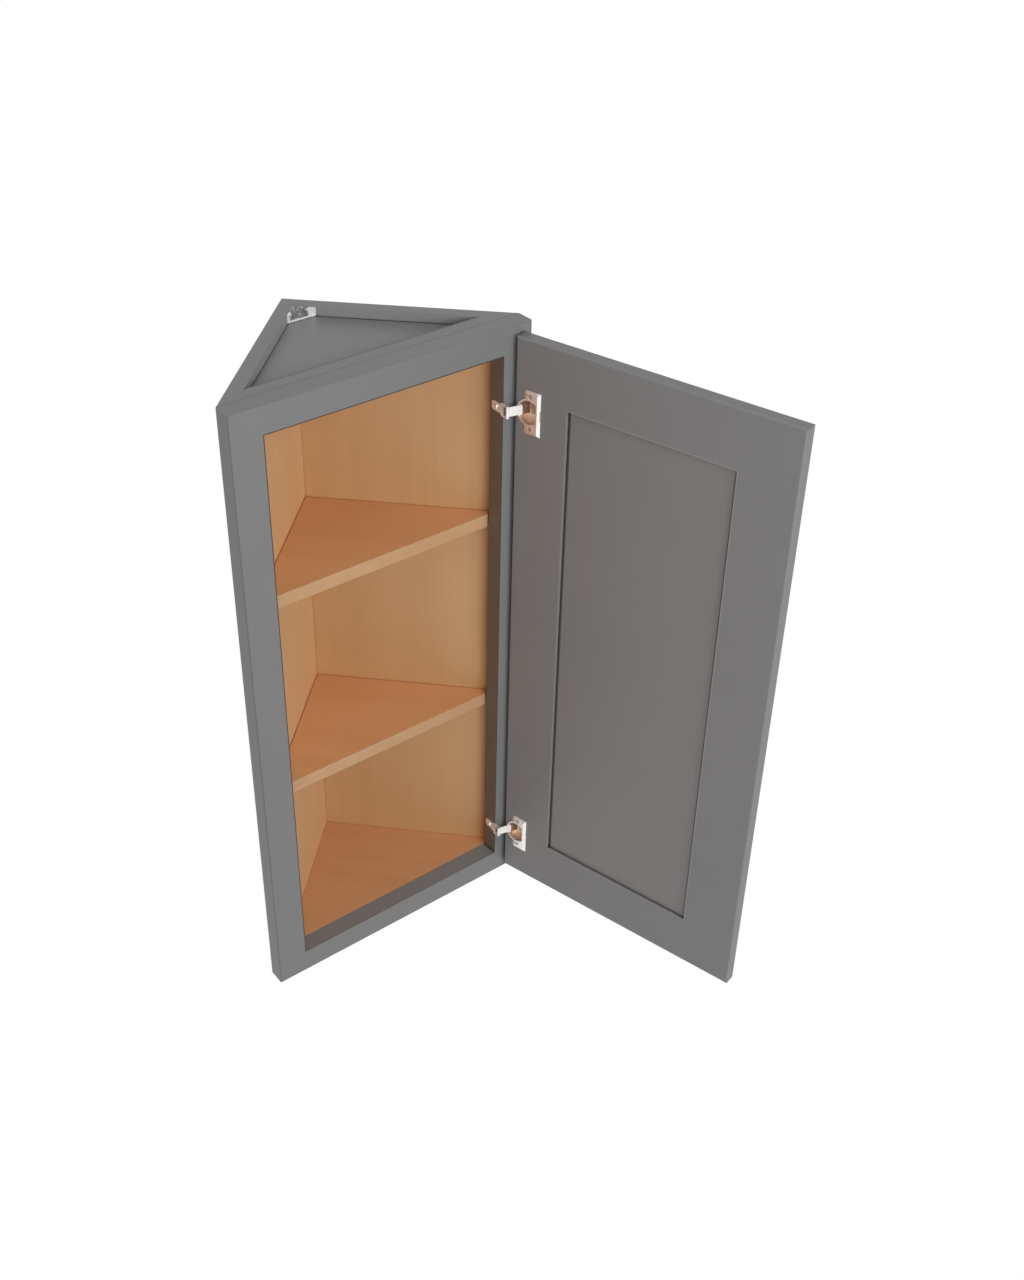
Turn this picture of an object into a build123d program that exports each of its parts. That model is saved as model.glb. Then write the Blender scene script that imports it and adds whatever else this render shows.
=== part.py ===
from build123d import *
from math import atan2, cos, degrees, hypot, radians, sin, sqrt
import os

# Angled end wall cabinet, in millimetres, with +Z up.
# The origin is the bottom corner where the two walls of the carcase meet at a right angle:
# the back panel's outer face is the plane y = 0, the side panel's is the plane x = 0, and the
# face frame closes the third side of the triangle.  The door stands open, as it is stored.

# Carcase
cabinet_height = 914.4
cabinet_leg = 304.8
panel_thickness = 19.05
deck_thickness = 12.7
top_recess = 12.7
dado_depth = 6.35
rabbet_depth = 9.5
glue_gap = 0.1
cleat_depth = 22.0

# Shelves and the spoon pins that carry them
shelf_thickness = 19.05
lower_shelf_top = 332.5
upper_shelf_top = 636.0
shelf_gap = 1.0
shelf_setback = 3.0
shelf_tip = 9.0
pin_radius = 2.5
pin_depth = 9.0
pin_fit = 0.05
spoon_reach = 11.0
spoon_width = 12.0
spoon_thickness = 2.0
spoon_chamfer = 3.2
rear_pin_distance = 60.0
front_pin_distance = 215.0

# Face frame
frame_thickness = 25.4
frame_stile_width = 44.45
frame_rail_width = 38.1
frame_tenon_length = 12.0
frame_tenon_thickness = 9.0
frame_tenon_shoulder = 6.0
frame_arris = 1.5

# Door: a flat panel held in the grooves of two stiles and two rails
door_reveal = 17.0
door_margin = 11.1
door_gap = 2.0
door_thickness = 19.05
door_member_width = 79.4
door_panel_thickness = 6.35
door_panel_setback = 4.0
door_groove_depth = 9.5
door_panel_play = 0.8
door_arris = 2.2

# Where the hinges sit, and how far each one turns from shut to fully open, in degrees
upper_hinge_drop = 98.6
lower_hinge_rise = 79.2
door_swing = 105.4
link_swing = 34.5

# Hinge cup, let into the back of the door, with its wings screwed to the stile
cup_radius = 17.5
cup_edge_distance = 4.5
cup_depth = 12.5
cup_wall = 0.9
cup_fit = 0.1
wing_height = 61.0
wing_thickness = 1.5
wing_base = 0.5
wing_slope = 4.6
wing_nose = 1.3
wing_near_reach = 7.0
wing_far_reach = 17.8
wing_corner = 1.8
rim_width = 5.0
rim_height = 4.0
rim_chamfer = 3.4
wing_screw_spacing = 45.0
wing_screw_offset = 2.4
cup_pin_inset = 4.7
cup_pin_sink = 1.3
cup_pin_radius = 1.1
ear_thickness = 1.4
ear_reach = 2.2
ear_foot = 5.0

# Hinge arm, screwed to the inner edge of the frame stile, with a nose that enters the cup
arm_pivot_rise = 10.3
arm_pin_radius = 1.3
arm_thickness = 1.6
arm_height = 12.6
arm_length = 20.0
arm_corner = 3.0
nose_wall = 1.6
nose_eye_radius = 2.4
nose_foot_low = 0.8
nose_foot_high = 5.0
nose_foot_width = 3.1
nose_web_high = 2.4
nose_web_low = 2.0
arm_pin_overhang = 0.5
arm_slot_length = 9.0
arm_screw_distance = 11.0

# Link between the arm's pin and the cup's pin
link_height = 13.0
link_thickness = 1.5
link_play = 0.35
arm_eye_radius = 2.3
cup_eye_radius = 1.9
running_fit = 0.06
press_fit = 0.02

# Leaf spring in the cup: its foot lies on the floor and its tongue rises under the shut link
spring_width = 12.4
spring_thickness = 0.7
spring_foot_reach = 8.0
spring_heel = 6.0
spring_bend = 2.0
spring_tip_reach = 10.4
spring_tip_depth = 4.0

# Corner bracket in the top recess
bracket_leg = 30.0
bracket_wall = 1.5
bracket_clear = 0.4
bracket_lip_height = 3.2
bracket_screw_distance = 17.0

# Screws
screw_fit = 0.05
screw_neck_radius = 1.75
pan_head_radius = 3.4
pan_head_height = 1.9
sunk_head_radius = 3.25
sunk_head_angle = 90.0
overrun = 1.0

os.makedirs("parts", exist_ok=True)
finished = []


def keep(shape, label):
    """Give a finished piece its name and put it on the list of files to write."""
    shape.label = label
    finished.append(shape)


# Plan of the carcase
diagonal = sqrt(2)
inner_face = panel_thickness
recess_floor = cabinet_height - top_recess
deck_top = frame_rail_width
frame_width = cabinet_leg * diagonal
frame_step = frame_thickness / diagonal
opening_top = cabinet_height - frame_rail_width

# In the frame's plane x runs inboard from the hinge end, y runs out into the room, and z is up
front = Plane(
    origin=(cabinet_leg + frame_step, -frame_step, 0), x_dir=(-1, -1, 0), z_dir=(0, 0, 1)
)

# Fully shut, the door's hinge edge lies at the reveal and the gap.  The link turns about the arm's
# pin and the door turns about the cup's pin, and the two turns together open the door.
arm_pin_x = frame_stile_width
arm_pin_y = arm_pivot_rise
cup_centre = cup_edge_distance + cup_radius
cup_pin_x = cup_edge_distance + cup_pin_inset
cup_pin_y = cup_pin_sink
shut_run = door_reveal + cup_pin_x - arm_pin_x
shut_rise = door_gap + cup_pin_y - arm_pin_y
link_length = hypot(shut_run, shut_rise)
link_shut_angle = degrees(atan2(shut_rise, shut_run))
link_open_angle = link_shut_angle - link_swing
open_pin_x = arm_pin_x + link_length * cos(radians(link_open_angle))
open_pin_y = arm_pin_y + link_length * sin(radians(link_open_angle))
door_cos = cos(radians(door_swing))
door_sin = sin(radians(door_swing))
door_origin_x = open_pin_x - cup_pin_x * door_cos + cup_pin_y * door_sin
door_origin_y = open_pin_y - cup_pin_x * door_sin - cup_pin_y * door_cos

# In the door's plane x runs from the hinge edge to the free edge, y from the back to the front
door_width = frame_width - 2 * door_reveal
door_height = cabinet_height - 2 * door_margin
door_plane = Plane(
    front.location * Location((door_origin_x, door_origin_y, door_margin), (0, 0, door_swing))
)
hinge_heights = {
    "upper": door_margin + door_height - upper_hinge_drop,
    "lower": door_margin + lower_hinge_rise,
}

# The two walls of the carcase, with dados for the decks and bores for the shelf pins
shelf_tops = {"upper": upper_shelf_top, "lower": lower_shelf_top}
pin_drop = spoon_width / 2
pin_levels = [top - shelf_thickness - pin_drop for top in shelf_tops.values()]
pin_distances = (rear_pin_distance, front_pin_distance)
deck_bottoms = (deck_top - deck_thickness, recess_floor - deck_thickness)
dado_floor = inner_face - dado_depth
screw_bore = screw_neck_radius + screw_fit
bracket_screw_level = recess_floor + bracket_wall + (top_recess - bracket_wall) / 2
flange_hole = inner_face + bracket_screw_distance
flange_face = inner_face + bracket_wall
bracket_seats = {
    "side": Plane(origin=(flange_face, -flange_hole, bracket_screw_level), z_dir=(1, 0, 0)),
    "back": Plane(origin=(flange_hole, -flange_face, bracket_screw_level), z_dir=(0, -1, 0)),
}


with BuildPart() as side_panel:
    with BuildSketch():
        with BuildLine():
            Polyline(
                (0, 0),
                (inner_face - rabbet_depth, 0),
                (inner_face - rabbet_depth, -panel_thickness),
                (inner_face, -panel_thickness),
                (inner_face, inner_face - cabinet_leg),
                (0, -cabinet_leg),
                close=True,
            )
        make_face()
    extrude(amount=cabinet_height)
    for deck_bottom in deck_bottoms:
        with BuildSketch(Plane.XY.offset(deck_bottom - glue_gap)):
            with BuildLine():
                Polyline(
                    (dado_floor, -panel_thickness),
                    (inner_face + overrun, -panel_thickness),
                    (inner_face + overrun, -cabinet_leg),
                    (dado_floor, -cabinet_leg),
                    close=True,
                )
            make_face()
        extrude(amount=deck_thickness + glue_gap, mode=Mode.SUBTRACT)
    for level in pin_levels:
        for distance in pin_distances:
            with Locations(Plane(origin=(inner_face, -distance, level), z_dir=(1, 0, 0))):
                Hole(radius=pin_radius + pin_fit, depth=pin_depth + pin_fit)
keep(side_panel.part, "side_panel")

with BuildPart() as back_panel:
    with BuildSketch():
        with BuildLine():
            Polyline(
                (inner_face - rabbet_depth, 0),
                (cabinet_leg, 0),
                (cabinet_leg - inner_face, -panel_thickness),
                (inner_face - rabbet_depth, -panel_thickness),
                close=True,
            )
        make_face()
    extrude(amount=cabinet_height)
    for deck_bottom in deck_bottoms:
        with BuildSketch(Plane.XY.offset(deck_bottom - glue_gap)):
            with BuildLine():
                Polyline(
                    (dado_floor, -dado_floor),
                    (cabinet_leg, -dado_floor),
                    (cabinet_leg, -inner_face - overrun),
                    (dado_floor, -inner_face - overrun),
                    close=True,
                )
            make_face()
        extrude(amount=deck_thickness + glue_gap, mode=Mode.SUBTRACT)
    for level in pin_levels:
        for distance in pin_distances:
            with Locations(Plane(origin=(distance, -inner_face, level), z_dir=(0, -1, 0))):
                Hole(radius=pin_radius + pin_fit, depth=pin_depth + pin_fit)
keep(back_panel.part, "back_panel")


# Each deck is a triangle whose two short edges sit in the dados of the walls
def deck_panel(bottom):
    with BuildPart() as deck:
        with BuildSketch(Plane.XY.offset(bottom)):
            with BuildLine():
                Polyline(
                    (dado_floor, -dado_floor),
                    (cabinet_leg - dado_floor, -dado_floor),
                    (dado_floor, dado_floor - cabinet_leg),
                    close=True,
                )
            make_face()
        extrude(amount=deck_thickness)
    return deck.part


keep(deck_panel(deck_bottoms[0]), "bottom_panel")
keep(deck_panel(deck_bottoms[1]), "top_panel")

# Nailing cleat on the top deck, behind the face frame
cleat_line = cabinet_leg - cleat_depth * diagonal
with BuildPart() as top_cleat:
    with BuildSketch(Plane.XY.offset(recess_floor)):
        with BuildLine():
            Polyline(
                (cabinet_leg - inner_face, -inner_face),
                (inner_face, inner_face - cabinet_leg),
                (inner_face, inner_face - cleat_line),
                (cleat_line - inner_face, -inner_face),
                close=True,
            )
        make_face()
    extrude(amount=top_recess)
keep(top_cleat.part, "top_cleat")

# Shelves: triangles with blunt tips, a hair clear of the walls and just behind the frame
shelf_line = cabinet_leg - shelf_setback * diagonal
shelf_corner = inner_face + shelf_gap
shelf_end = shelf_line - shelf_corner - shelf_tip


def shelf(top):
    with BuildPart() as board:
        with BuildSketch(Plane.XY.offset(top - shelf_thickness)):
            with BuildLine():
                Polyline(
                    (shelf_corner, -shelf_corner),
                    (shelf_end, -shelf_corner),
                    (shelf_end, shelf_end - shelf_line),
                    (shelf_line - shelf_end, -shelf_end),
                    (shelf_corner, -shelf_end),
                    close=True,
                )
            make_face()
        extrude(amount=shelf_thickness)
    return board.part


# A spoon pin has a round shank in the wall, a flat plate against it and a tongue under the shelf
def shelf_pins(top):
    underside = top - shelf_thickness
    with BuildPart() as pins:
        for distance in pin_distances:
            side_wall = Plane(
                origin=(inner_face, -distance, underside), x_dir=(0, 1, 0), z_dir=(1, 0, 0)
            )
            back_wall = Plane(
                origin=(distance, -inner_face, underside), x_dir=(1, 0, 0), z_dir=(0, -1, 0)
            )
            for wall in (side_wall, back_wall):
                with BuildSketch(wall):
                    with Locations((0, -pin_drop)):
                        Circle(pin_radius)
                extrude(amount=-pin_depth)
                with BuildSketch(wall) as plate:
                    Rectangle(spoon_width, 2 * pin_drop, align=(Align.CENTER, Align.MAX))
                    chamfer(plate.vertices().group_by(Axis.Y)[0], spoon_chamfer)
                extrude(amount=spoon_thickness)
                with BuildSketch(wall):
                    with Locations((0, -spoon_thickness / 2)):
                        Rectangle(spoon_width, spoon_thickness)
                extrude(amount=spoon_reach)
    return pins.part


for name, top in shelf_tops.items():
    keep(shelf(top), name + "_shelf")
    keep(shelf_pins(top), name + "_shelf_pins")

# Corner bracket: a triangular foot plate, a flange up each wall and a lip along the open side
lip_run = bracket_wall * diagonal
bracket_height = top_recess - bracket_clear
with BuildPart() as corner_bracket:
    with BuildSketch(Plane.XY.offset(recess_floor)):
        with BuildLine():
            Polyline(
                (inner_face, -inner_face),
                (inner_face + bracket_leg, -inner_face),
                (inner_face, -inner_face - bracket_leg),
                close=True,
            )
        make_face()
    extrude(amount=bracket_wall)
    with BuildSketch(Plane.XY.offset(recess_floor)):
        with Locations((inner_face, -inner_face)):
            Rectangle(bracket_leg, bracket_wall, align=(Align.MIN, Align.MAX))
            Rectangle(bracket_wall, bracket_leg, align=(Align.MIN, Align.MAX))
    extrude(amount=bracket_height)
    with BuildSketch(Plane.XY.offset(recess_floor)):
        with BuildLine():
            Polyline(
                (inner_face + bracket_leg, -inner_face),
                (inner_face, -inner_face - bracket_leg),
                (inner_face, lip_run - inner_face - bracket_leg),
                (inner_face + bracket_leg - lip_run, -inner_face),
                close=True,
            )
        make_face()
    extrude(amount=bracket_lip_height)
    with Locations(*bracket_seats.values()):
        Hole(radius=screw_bore, depth=bracket_wall)
keep(corner_bracket.part, "corner_bracket")


# A pan head stands on the seat plane, and its neck goes through the plate down to the wood
def pan_screws(seats, plate_thickness):
    with BuildPart() as screws:
        for seat in seats:
            with BuildSketch(seat):
                Circle(pan_head_radius)
            extrude(amount=pan_head_height)
            with BuildSketch(seat):
                Circle(screw_neck_radius)
            extrude(amount=screw_fit - plate_thickness)
    return screws.part


keep(pan_screws(bracket_seats.values(), bracket_wall), "corner_bracket_screws")

# Face frame: stiles run the full height, and rails enter them with stub tenons
front_axis = Axis((0, 0, 0), front.y_dir)
inboard_axis = Axis((0, 0, 0), front.x_dir)
rail_levels = {"bottom": 0, "top": opening_top}
arm_seats = {}
arm_screw_seats = {}
for name, height in hinge_heights.items():
    arm_seat = Plane(
        origin=front.from_local_coords((frame_stile_width, 0, height)),
        x_dir=front.y_dir,
        z_dir=front.x_dir,
    )
    arm_seats[name] = arm_seat
    arm_screw_seats[name] = Plane(
        origin=arm_seat.from_local_coords((-arm_screw_distance, 0, arm_thickness)),
        x_dir=arm_seat.x_dir,
        z_dir=arm_seat.z_dir,
    )


def frame_stile(start, outer_rim, mortise_start):
    with BuildPart() as stile:
        with BuildSketch(front):
            with Locations((start, 0)):
                Rectangle(frame_stile_width, frame_thickness, align=(Align.MIN, Align.MAX))
        extrude(amount=cabinet_height)
        rims = stile.faces().sort_by(front_axis)[-1].edges()
        side_rim = rims.sort_by(inboard_axis)[outer_rim]
        fillet([side_rim] + list(rims.filter_by(Axis.Z, reverse=True)), frame_arris)
        for level in rail_levels.values():
            with BuildSketch(front.offset(level + frame_tenon_shoulder)):
                with Locations((mortise_start, -frame_thickness / 2)):
                    Rectangle(
                        frame_tenon_length, frame_tenon_thickness, align=(Align.MIN, Align.CENTER)
                    )
            extrude(amount=frame_rail_width - 2 * frame_tenon_shoulder, mode=Mode.SUBTRACT)
    return stile.part


def frame_rail(level, at_top):
    rail_length = frame_width - 2 * frame_stile_width
    with BuildPart() as rail:
        with BuildSketch(front.offset(level)):
            with Locations((frame_stile_width, 0)):
                Rectangle(rail_length, frame_thickness, align=(Align.MIN, Align.MAX))
        extrude(amount=frame_rail_width)
        rims = rail.faces().sort_by(front_axis)[-1].edges().filter_by(Axis.Z, reverse=True)
        outer_rim = rims.sort_by(Axis.Z)[-1 if at_top else 0]
        fillet(outer_rim, frame_arris)
        with BuildSketch(front.offset(level + frame_tenon_shoulder)):
            with Locations((frame_width / 2, -frame_thickness / 2)):
                Rectangle(rail_length + 2 * frame_tenon_length, frame_tenon_thickness)
        extrude(amount=frame_rail_width - 2 * frame_tenon_shoulder)
    return rail.part


far_stile_start = frame_width - frame_stile_width
near_mortise_start = frame_stile_width - frame_tenon_length
keep(frame_stile(0, 0, near_mortise_start), "right_frame_stile")
keep(frame_stile(far_stile_start, -1, far_stile_start), "left_frame_stile")
for name, level in rail_levels.items():
    keep(frame_rail(level, name == "top"), name + "_frame_rail")

# Door frame and panel
groove_low = door_panel_setback - glue_gap
panel_middle = door_panel_setback + door_panel_thickness / 2
groove_width = door_panel_thickness + 2 * glue_gap
door_axis = Axis((0, 0, 0), door_plane.x_dir)
cup_planes = {}
for name, height in hinge_heights.items():
    cup_planes[name] = Plane(
        origin=door_plane.from_local_coords((cup_centre, 0, height - door_margin)),
        x_dir=door_plane.x_dir,
        z_dir=-door_plane.y_dir,
    )
wing_screw_places = (
    (wing_screw_offset, wing_screw_spacing / 2),
    (wing_screw_offset, -wing_screw_spacing / 2),
)


def cup_screw_seats(plane):
    """Planes level with the wings' face, on the axes of the cup's two screws."""
    return [
        Plane(
            origin=plane.offset(wing_thickness).from_local_coords(place),
            x_dir=plane.x_dir,
            z_dir=plane.z_dir,
        )
        for place in wing_screw_places
    ]


def door_stile(start, groove_start, outer_index, bored):
    with BuildPart() as stile:
        with BuildSketch(door_plane):
            with Locations((start, 0)):
                Rectangle(door_member_width, door_thickness, align=(Align.MIN, Align.MIN))
        extrude(amount=door_height)
        long_rims = stile.edges().filter_by(Axis.Z).group_by(door_axis)[outer_index]
        end_rims = stile.edges().filter_by(door_axis)
        fillet(list(long_rims) + list(end_rims), door_arris)
        with BuildSketch(door_plane):
            with Locations((groove_start, groove_low)):
                Rectangle(door_groove_depth, groove_width, align=(Align.MIN, Align.MIN))
        extrude(amount=door_height, mode=Mode.SUBTRACT)
        if bored:
            with Locations(*cup_planes.values()):
                Hole(radius=cup_radius + cup_fit, depth=cup_depth + cup_fit)
    return stile.part


def door_rail(level, at_top):
    rail_length = door_width - 2 * door_member_width
    tongue = 2 * (door_groove_depth - glue_gap)
    inner_level = level if at_top else level + door_member_width - door_groove_depth
    tongue_level = level + door_groove_depth if at_top else level
    with BuildPart() as rail:
        with BuildSketch(door_plane.offset(level)):
            with Locations((door_member_width, 0)):
                Rectangle(rail_length, door_thickness, align=(Align.MIN, Align.MIN))
        extrude(amount=door_member_width)
        rims = rail.edges().filter_by(door_axis).group_by(Axis.Z)[-1 if at_top else 0]
        fillet(rims, door_arris)
        with BuildSketch(door_plane.offset(inner_level)):
            with Locations((door_member_width, groove_low)):
                Rectangle(rail_length, groove_width, align=(Align.MIN, Align.MIN))
        extrude(amount=door_groove_depth, mode=Mode.SUBTRACT)
        with BuildSketch(door_plane.offset(tongue_level)):
            with Locations((door_width / 2, panel_middle)):
                Rectangle(rail_length + tongue, door_panel_thickness)
        extrude(amount=door_member_width - door_groove_depth)
    return rail.part


keep(door_stile(0, door_member_width - door_groove_depth, 0, True), "door_hinge_stile")
keep(
    door_stile(door_width - door_member_width, door_width - door_member_width, -1, False),
    "door_free_stile",
)
keep(door_rail(0, False), "door_bottom_rail")
keep(door_rail(door_height - door_member_width, True), "door_top_rail")

panel_reach = door_groove_depth - door_panel_play
with BuildPart() as door_panel:
    panel_low = door_member_width - panel_reach
    with BuildSketch(door_plane.offset(panel_low)):
        with Locations((door_width / 2, panel_middle)):
            Rectangle(door_width - 2 * panel_low, door_panel_thickness)
    extrude(amount=door_height - 2 * panel_low)
keep(door_panel.part, "door_panel")

# Hinges
half_link = link_height / 2
nose_half = half_link + link_play + nose_wall
ear_low = half_link + link_play
wing_width = wing_near_reach + wing_far_reach
wing_middle = (wing_far_reach - wing_near_reach) / 2
ear_wall_run = sqrt((cup_radius - cup_wall / 2) ** 2 - (ear_low + ear_thickness) ** 2)
link_middle = (
    (arm_pin_x + open_pin_x) / 2,
    (arm_pin_y + open_pin_y) / 2,
)


# The wings are one pressed plate with cut corners that slopes up to its face on every side
def hinge_wings(plane):
    with BuildPart() as wings:
        with BuildSketch(plane):
            with Locations((wing_middle, 0)):
                Rectangle(wing_width, wing_height)
        extrude(amount=wing_thickness)
        face = wings.faces().sort_by(Axis((0, 0, 0), plane.z_dir))[-1]
        chamfer(face.edges(), wing_slope, wing_thickness - wing_base, reference=face)
        with BuildSketch(plane) as cut_outline:
            with Locations((wing_middle, 0)):
                Rectangle(wing_width, wing_height)
            chamfer(cut_outline.vertices(), wing_corner)
        extrude(amount=wing_thickness, mode=Mode.INTERSECT)
    return wings.part


# The rim is the raised, bevelled edge of the wings on the side of the free edge
def hinge_rim(plane):
    with BuildPart() as rim:
        with BuildSketch(plane):
            with Locations((wing_far_reach, 0)):
                Rectangle(rim_width, wing_height, align=(Align.MAX, Align.CENTER))
        extrude(amount=rim_height)
        crest = rim.faces().sort_by(Axis((0, 0, 0), plane.z_dir))[-1].edges()
        chamfer(list(crest.filter_by(door_axis)) + [crest.sort_by(door_axis)[-1]], rim_chamfer)
    return rim.part


def hinge_cup(plane, height):
    outward = Axis((0, 0, 0), plane.z_dir)
    with BuildPart() as cup:
        with BuildSketch(plane):
            Circle(cup_radius)
        extrude(amount=-cup_depth)
        with BuildSketch(plane):
            Circle(cup_radius + wing_nose)
        extrude(amount=wing_thickness)
        add(hinge_wings(plane))
        with BuildSketch(plane.offset(wing_thickness)):
            Circle(cup_radius - cup_wall)
        extrude(amount=cup_wall - cup_depth - wing_thickness, mode=Mode.SUBTRACT)
        add(hinge_rim(plane))
        for seat in cup_screw_seats(plane):
            with BuildSketch(seat):
                Circle(sunk_head_radius + screw_fit)
            extrude(amount=-wing_thickness, taper=sunk_head_angle / 2, mode=Mode.SUBTRACT)
        for side in (1, -1):
            low = height + (ear_low if side > 0 else -ear_low - ear_thickness)
            ear_start = cup_centre - ear_wall_run
            ear_end = cup_pin_x + ear_reach
            with BuildSketch(door_plane.offset(low)):
                with Locations((ear_start, cup_pin_y - ear_reach)):
                    Rectangle(
                        ear_end - ear_start, ear_reach + ear_foot, align=(Align.MIN, Align.MIN)
                    )
                with Locations((cup_pin_x, cup_pin_y)):
                    Circle(cup_pin_radius + press_fit, mode=Mode.SUBTRACT)
            extrude(amount=ear_thickness)
    return cup.part


def hinge_cup_pin(height):
    half = ear_low + ear_thickness
    with BuildPart() as pin:
        with BuildSketch(door_plane.offset(height - half)):
            with Locations((cup_pin_x, cup_pin_y)):
                Circle(cup_pin_radius)
        extrude(amount=2 * half)
    return pin.part


def hinge_cup_screws(plane):
    with BuildPart() as screws:
        for seat in cup_screw_seats(plane):
            with BuildSketch(seat):
                Circle(sunk_head_radius)
            extrude(amount=screw_fit - wing_thickness, taper=sunk_head_angle / 2)
    return screws.part


# The spring is a bent leaf: a flat foot on the floor of the cup and a tongue that rises steeply
def hinge_spring(height):
    floor = cup_depth - cup_wall - spring_thickness / 2
    with BuildPart() as spring:
        with BuildSketch(door_plane.offset(height - spring_width / 2)):
            with BuildLine():
                FilletPolyline(
                    (cup_centre + spring_foot_reach, floor),
                    (cup_centre - spring_heel, floor),
                    (cup_centre - spring_tip_reach, spring_tip_depth),
                    radius=spring_bend,
                )
            trace(line_width=spring_thickness)
        extrude(amount=spring_width)
    return spring.part


def hinge_arm(plane, height):
    with BuildPart() as arm:
        with BuildSketch(plane) as strap:
            Rectangle(arm_length, arm_height, align=(Align.MAX, Align.CENTER))
            fillet(strap.vertices().group_by(Axis.X)[0], arm_corner)
            with Locations((-nose_web_low, 0)):
                Rectangle(
                    nose_web_low + nose_web_high, 2 * nose_half, align=(Align.MIN, Align.CENTER)
                )
            with Locations((-arm_screw_distance, 0)):
                SlotOverall(arm_slot_length, 2 * screw_bore + screw_fit, mode=Mode.SUBTRACT)
        extrude(amount=arm_thickness)
        for side in (1, -1):
            low = height + (nose_half - nose_wall if side > 0 else -nose_half)
            with BuildSketch(front.offset(low)) as cheek:
                with Locations((arm_pin_x, arm_pin_y)):
                    Circle(nose_eye_radius)
                with Locations((frame_stile_width, nose_foot_low)):
                    Rectangle(
                        nose_foot_width, nose_foot_high - nose_foot_low,
                        align=(Align.MIN, Align.MIN),
                    )
                make_hull(cheek.edges())
                with Locations((arm_pin_x, arm_pin_y)):
                    Circle(arm_pin_radius + press_fit, mode=Mode.SUBTRACT)
            extrude(amount=nose_wall)
    return arm.part


def hinge_arm_pin(height):
    half = nose_half + arm_pin_overhang
    with BuildPart() as pin:
        with BuildSketch(front.offset(height - half)):
            with Locations((arm_pin_x, arm_pin_y)):
                Circle(arm_pin_radius)
        extrude(amount=2 * half)
    return pin.part


def hinge_link(height):
    turn = Location((link_middle[0], link_middle[1], 0), (0, 0, link_open_angle))
    with BuildPart() as link:
        with BuildSketch(front.offset(height - half_link)):
            with Locations((arm_pin_x, arm_pin_y)):
                Circle(arm_eye_radius)
            with Locations((open_pin_x, open_pin_y)):
                Circle(cup_eye_radius)
            with Locations(turn):
                Rectangle(link_length, link_thickness)
            with Locations((arm_pin_x, arm_pin_y)):
                Circle(arm_pin_radius + running_fit, mode=Mode.SUBTRACT)
            with Locations((open_pin_x, open_pin_y)):
                Circle(cup_pin_radius + running_fit, mode=Mode.SUBTRACT)
        extrude(amount=link_height)
    return link.part


for name, height in hinge_heights.items():
    on_door = height - door_margin
    keep(hinge_cup(cup_planes[name], on_door), name + "_hinge_cup")
    keep(hinge_cup_pin(on_door), name + "_hinge_cup_pin")
    keep(hinge_cup_screws(cup_planes[name]), name + "_hinge_cup_screws")
    keep(hinge_spring(on_door), name + "_hinge_spring")
    keep(hinge_link(height), name + "_hinge_link")
    keep(hinge_arm(arm_seats[name], height), name + "_hinge_arm")
    keep(hinge_arm_pin(height), name + "_hinge_arm_pin")
    keep(pan_screws([arm_screw_seats[name]], arm_thickness), name + "_hinge_arm_screw")

for shape in finished:
    export_step(shape, "parts/" + shape.label + ".step")
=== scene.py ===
from math import radians

import bpy
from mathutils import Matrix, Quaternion, Vector


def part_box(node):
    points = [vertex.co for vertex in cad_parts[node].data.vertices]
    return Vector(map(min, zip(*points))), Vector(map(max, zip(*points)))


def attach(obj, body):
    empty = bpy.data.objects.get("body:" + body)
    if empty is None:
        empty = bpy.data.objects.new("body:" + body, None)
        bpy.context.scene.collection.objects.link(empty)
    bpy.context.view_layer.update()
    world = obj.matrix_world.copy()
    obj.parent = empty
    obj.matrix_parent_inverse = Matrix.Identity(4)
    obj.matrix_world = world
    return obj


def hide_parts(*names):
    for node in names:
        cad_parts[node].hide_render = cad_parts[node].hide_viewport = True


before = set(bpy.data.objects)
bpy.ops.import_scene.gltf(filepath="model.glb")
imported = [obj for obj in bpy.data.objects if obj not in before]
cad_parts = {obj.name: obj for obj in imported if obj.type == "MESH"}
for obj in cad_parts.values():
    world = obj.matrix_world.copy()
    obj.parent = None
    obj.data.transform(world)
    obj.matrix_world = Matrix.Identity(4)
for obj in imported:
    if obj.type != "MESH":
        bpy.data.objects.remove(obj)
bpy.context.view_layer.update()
bpy.ops.object.select_all(action="DESELECT")

# The two walls of the carcase: particle board, rabbeted together at the back corner and grooved for
# the decks.  It comes laminated with a printed maple foil, which shows inside, and its outer faces
# and edges are sprayed grey together with the front.
WALL_THICKNESS = 0.01905
BOTTOM_DECK_FACE = 0.0381
TOP_DECK_UNDERSIDE = 0.889
TOP_DECK_FACE = 0.9017
RIM_LEVEL = 0.9144
FRAME_BACK = 0.3048
BACK_TONES = ("#BE9468", "#B88E62")
# The side board's foil has lighter tones than the back board's, as painted light on the side wall.
SIDE_PAINTED_LIGHT_TONES = ("#D9B082", "#D3A97B")
BOARD_GREY = "#7B7B7B"
# Painted light lifts the grey in the top recess, and painted shade darkens it on the rim.
RECESS_PAINTED_LIGHT_GREY = "#868687"
RIM_PAINTED_SHADE_GREY = "#757575"

# The print's streaks and bands: width, length and waver.  Real streaks are finer than a picture of
# the whole cabinet can show, so they are drawn coarser.  As the two add up over PRINT_RANGE, the
# tone goes from the first of a board's tones to the second.
STREAKS = (0.0032, 0.20, 0.35)
BANDS = (0.055, 0.70, 0.9)
STREAK_SHARE = 0.4
PRINT_RANGE = (0.5, 0.9)
FOIL_GLOSS = (0.40, 0.50)

# The lacquer's cloud and orange peel, at their real size, and how deep all fine relief goes.
CLOUD_WIDTH = 0.11
CLOUD_TONES = (0.96, 1.04)
PEEL_WIDTH = 0.0012
FINE_RELIEF = 0.05
RELIEF_DEPTH = 0.0004

# Painted shade in creases is read from the share of open air round a place: full shade at
# the first value, none at the second.
CREASE_SHADE_REACH = 0.004
CREASE_SHADE_AIR = (0.5, 0.78)
FOIL_CREASE_SHADE = "#F0DCC8"
LACQUER_CREASE_SHADE = "#7C736B"
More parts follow.
